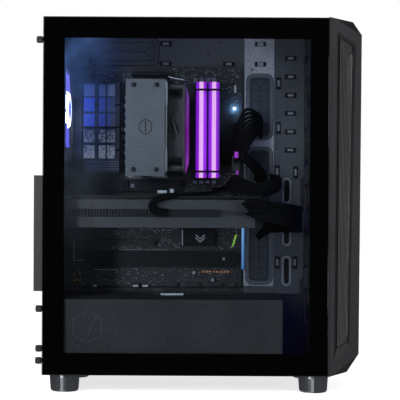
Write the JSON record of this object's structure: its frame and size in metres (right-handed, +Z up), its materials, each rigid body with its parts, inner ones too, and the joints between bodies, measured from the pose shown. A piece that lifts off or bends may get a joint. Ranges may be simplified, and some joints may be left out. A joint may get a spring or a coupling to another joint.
{
  "type": "desktop computer tower",
  "caption": "Tower computer with a glass side panel, faceted front bezel, lit fans, board, cooler, graphics card and shrouded power supply.",
  "frame": {"origin": "centre of the footprint box, at the underside of the feet", "axes": "+X from the rear panel to the front bezel, -Y towards the glass side panel, +Z up"},
  "size_m": [0.417, 0.216, 0.48],
  "materials": {
    "black_steel": "satin powder coat",
    "grey_steel": "textured powder coat",
    "bezel_plastic": "fine textured plastic",
    "mesh_metal": "painted mesh",
    "tempered_glass": "tinted, polished",
    "black_plastic": "moulded",
    "button_plastic": "smooth",
    "foot_plastic": "satin",
    "dark_aluminium": "dark anodised",
    "coated_aluminium": "powder coated",
    "bare_aluminium": "bare",
    "steel_bracket": "brushed",
    "circuit_board": "solder mask",
    "lit_fan_plastic": "translucent",
    "cable_sleeve": "matt",
    "screw_metal": "black zinc"
  },
  "bodies": {
    "case": {"board_power_cable": "cable_sleeve", "chassis_floor": "black_steel", "chassis_front": "black_steel", "chassis_rear": "black_steel", "chassis_top": "black_steel", "chipset_heatsink": "dark_aluminium", "cooler_top_plate": "coated_aluminium", "cooler_tower": "bare_aluminium", "cpu_fan_frame": "black_plastic", "foot_front_left": "foot_plastic", "foot_front_right": "foot_plastic", "foot_rear_left": "foot_plastic", "foot_rear_right": "foot_plastic", "front_fan_frame_bottom": "black_plastic", "front_fan_frame_middle": "black_plastic", "front_fan_frame_top": "black_plastic", "front_port_module": "black_plastic", "graphics_backplate": "dark_aluminium", "graphics_board": "circuit_board", "graphics_bracket": "steel_bracket", "graphics_power_cable": "cable_sleeve", "graphics_shroud": "black_plastic", "m2_heatsink": "dark_aluminium", "memory_module_a": "dark_aluminium", "memory_module_b": "dark_aluminium", "motherboard": "circuit_board", "motherboard_tray": "black_steel", "power_supply": "black_steel", "psu_shroud": "grey_steel", "rear_fan_frame": "black_plastic", "rear_port_block": "dark_aluminium", "slot_cover": "black_steel", "vrm_heatsink_rear": "dark_aluminium", "vrm_heatsink_top": "dark_aluminium"},
    "glass_door": {"glass_pane": "tempered_glass", "glass_frame": "black_steel"},
    "right_door": {"right_panel": "black_steel"},
    "front_bezel": {"bezel_shell": "bezel_plastic", "bezel_front_mesh": "mesh_metal", "bezel_side_mesh_left": "mesh_metal", "bezel_side_mesh_right": "mesh_metal"},
    "top_filter": {"top_dust_filter": "black_plastic"},
    "psu_filter": {"psu_dust_filter": "black_plastic"},
    "power_button": {"power_button": "button_plastic"},
    "reset_button": {"reset_button": "button_plastic"},
    "thumbscrew_glass_bottom": {"thumbscrew_glass_bottom": "screw_metal"},
    "thumbscrew_glass_top": {"thumbscrew_glass_top": "screw_metal"},
    "thumbscrew_right_bottom": {"thumbscrew_right_bottom": "screw_metal"},
    "thumbscrew_right_top": {"thumbscrew_right_top": "screw_metal"},
    "thumbscrew_psu_bottom": {"thumbscrew_psu_bottom": "screw_metal"},
    "thumbscrew_psu_top": {"thumbscrew_psu_top": "screw_metal"},
    "cpu_fan_rotor": {"cpu_fan_rotor": "lit_fan_plastic"},
    "rear_fan_rotor": {"rear_fan_rotor": "lit_fan_plastic"},
    "graphics_fan_rear": {"graphics_fan_rear": "black_plastic"},
    "graphics_fan_front": {"graphics_fan_front": "black_plastic"},
    "psu_fan_rotor": {"psu_fan_rotor": "black_plastic"},
    "front_fan_rotor_bottom": {"front_fan_rotor_bottom": "lit_fan_plastic"},
    "front_fan_rotor_middle": {"front_fan_rotor_middle": "lit_fan_plastic"},
    "front_fan_rotor_top": {"front_fan_rotor_top": "lit_fan_plastic"},
    "psu_switch": {"psu_switch": "black_plastic"}
  },
  "joints": [
    {"name": "glass_door_off", "type": "slide", "parent": "case", "child": "glass_door", "axis": [0, -1, 0], "range_m": [0, 0.12]},
    {"name": "right_door_off", "type": "slide", "parent": "case", "child": "right_door", "axis": [0, 1, 0], "range_m": [0, 0.12]},
    {"name": "front_bezel_off", "type": "slide", "parent": "case", "child": "front_bezel", "axis": [1, 0, 0], "range_m": [0, 0.12]},
    {"name": "top_filter_off", "type": "slide", "parent": "case", "child": "top_filter", "axis": [0, 0, 1], "range_m": [0, 0.12]},
    {"name": "psu_filter_out", "type": "slide", "parent": "case", "child": "psu_filter", "axis": [-1, 0, 0], "range_m": [0, 0.16]},
    {"name": "power_button_press", "type": "slide", "parent": "case", "child": "power_button", "axis": [0, 0, -1], "range_m": [0, 0.0015], "stiffness_N_per_m": 500, "springref_m": -0.001},
    {"name": "reset_button_press", "type": "slide", "parent": "case", "child": "reset_button", "axis": [0, 0, -1], "range_m": [0, 0.0015], "stiffness_N_per_m": 500, "springref_m": -0.001},
    {"name": "thumbscrew_glass_bottom_turn", "type": "hinge", "parent": "glass_door", "child": "thumbscrew_glass_bottom", "pos_m": [-0.1968, -0.0965, 0.0404], "axis": [-1, 0, 0], "continuous": true},
    {"name": "thumbscrew_glass_top_turn", "type": "hinge", "parent": "glass_door", "child": "thumbscrew_glass_top", "pos_m": [-0.1968, -0.0965, 0.4505], "axis": [-1, 0, 0], "continuous": true},
    {"name": "thumbscrew_right_bottom_turn", "type": "hinge", "parent": "right_door", "child": "thumbscrew_right_bottom", "pos_m": [-0.1968, 0.0965, 0.0404], "axis": [-1, 0, 0], "continuous": true},
    {"name": "thumbscrew_right_top_turn", "type": "hinge", "parent": "right_door", "child": "thumbscrew_right_top", "pos_m": [-0.1968, 0.0965, 0.4505], "axis": [-1, 0, 0], "continuous": true},
    {"name": "thumbscrew_psu_bottom_turn", "type": "hinge", "parent": "case", "child": "thumbscrew_psu_bottom", "pos_m": [-0.1968, -0.0945, 0.0557], "axis": [-1, 0, 0], "continuous": true},
    {"name": "thumbscrew_psu_top_turn", "type": "hinge", "parent": "case", "child": "thumbscrew_psu_top", "pos_m": [-0.1968, -0.0945, 0.1065], "axis": [-1, 0, 0], "continuous": true},
    {"name": "cpu_fan_rotor_spin", "type": "hinge", "parent": "case", "child": "cpu_fan_rotor", "pos_m": [-0.0413, -0.023, 0.34], "axis": [1, 0, 0], "continuous": true},
    {"name": "rear_fan_rotor_spin", "type": "hinge", "parent": "case", "child": "rear_fan_rotor", "pos_m": [-0.195, -0.031, 0.365], "axis": [1, 0, 0], "continuous": true},
    {"name": "graphics_fan_rear_spin", "type": "hinge", "parent": "case", "child": "graphics_fan_rear", "pos_m": [-0.122, -0.006, 0.2234], "axis": [0, 0, 1], "continuous": true},
    {"name": "graphics_fan_front_spin", "type": "hinge", "parent": "case", "child": "graphics_fan_front", "pos_m": [0.008, -0.006, 0.2234], "axis": [0, 0, 1], "continuous": true},
    {"name": "psu_fan_rotor_spin", "type": "hinge", "parent": "case", "child": "psu_fan_rotor", "pos_m": [-0.124, -0.011, 0.0445], "axis": [0, 0, 1], "continuous": true},
    {"name": "front_fan_rotor_bottom_spin", "type": "hinge", "parent": "case", "child": "front_fan_rotor_bottom", "pos_m": [0.1404, -0.01, 0.111], "axis": [1, 0, 0], "continuous": true},
    {"name": "front_fan_rotor_middle_spin", "type": "hinge", "parent": "case", "child": "front_fan_rotor_middle", "pos_m": [0.1404, -0.01, 0.252], "axis": [1, 0, 0], "continuous": true},
    {"name": "front_fan_rotor_top_spin", "type": "hinge", "parent": "case", "child": "front_fan_rotor_top", "pos_m": [0.1404, -0.01, 0.393], "axis": [1, 0, 0], "continuous": true},
    {"name": "psu_switch_rock", "type": "hinge", "parent": "case", "child": "psu_switch", "pos_m": [-0.1935, -0.005, 0.06], "axis": [0, 1, 0], "range_deg": [0, 14]}
  ]
}
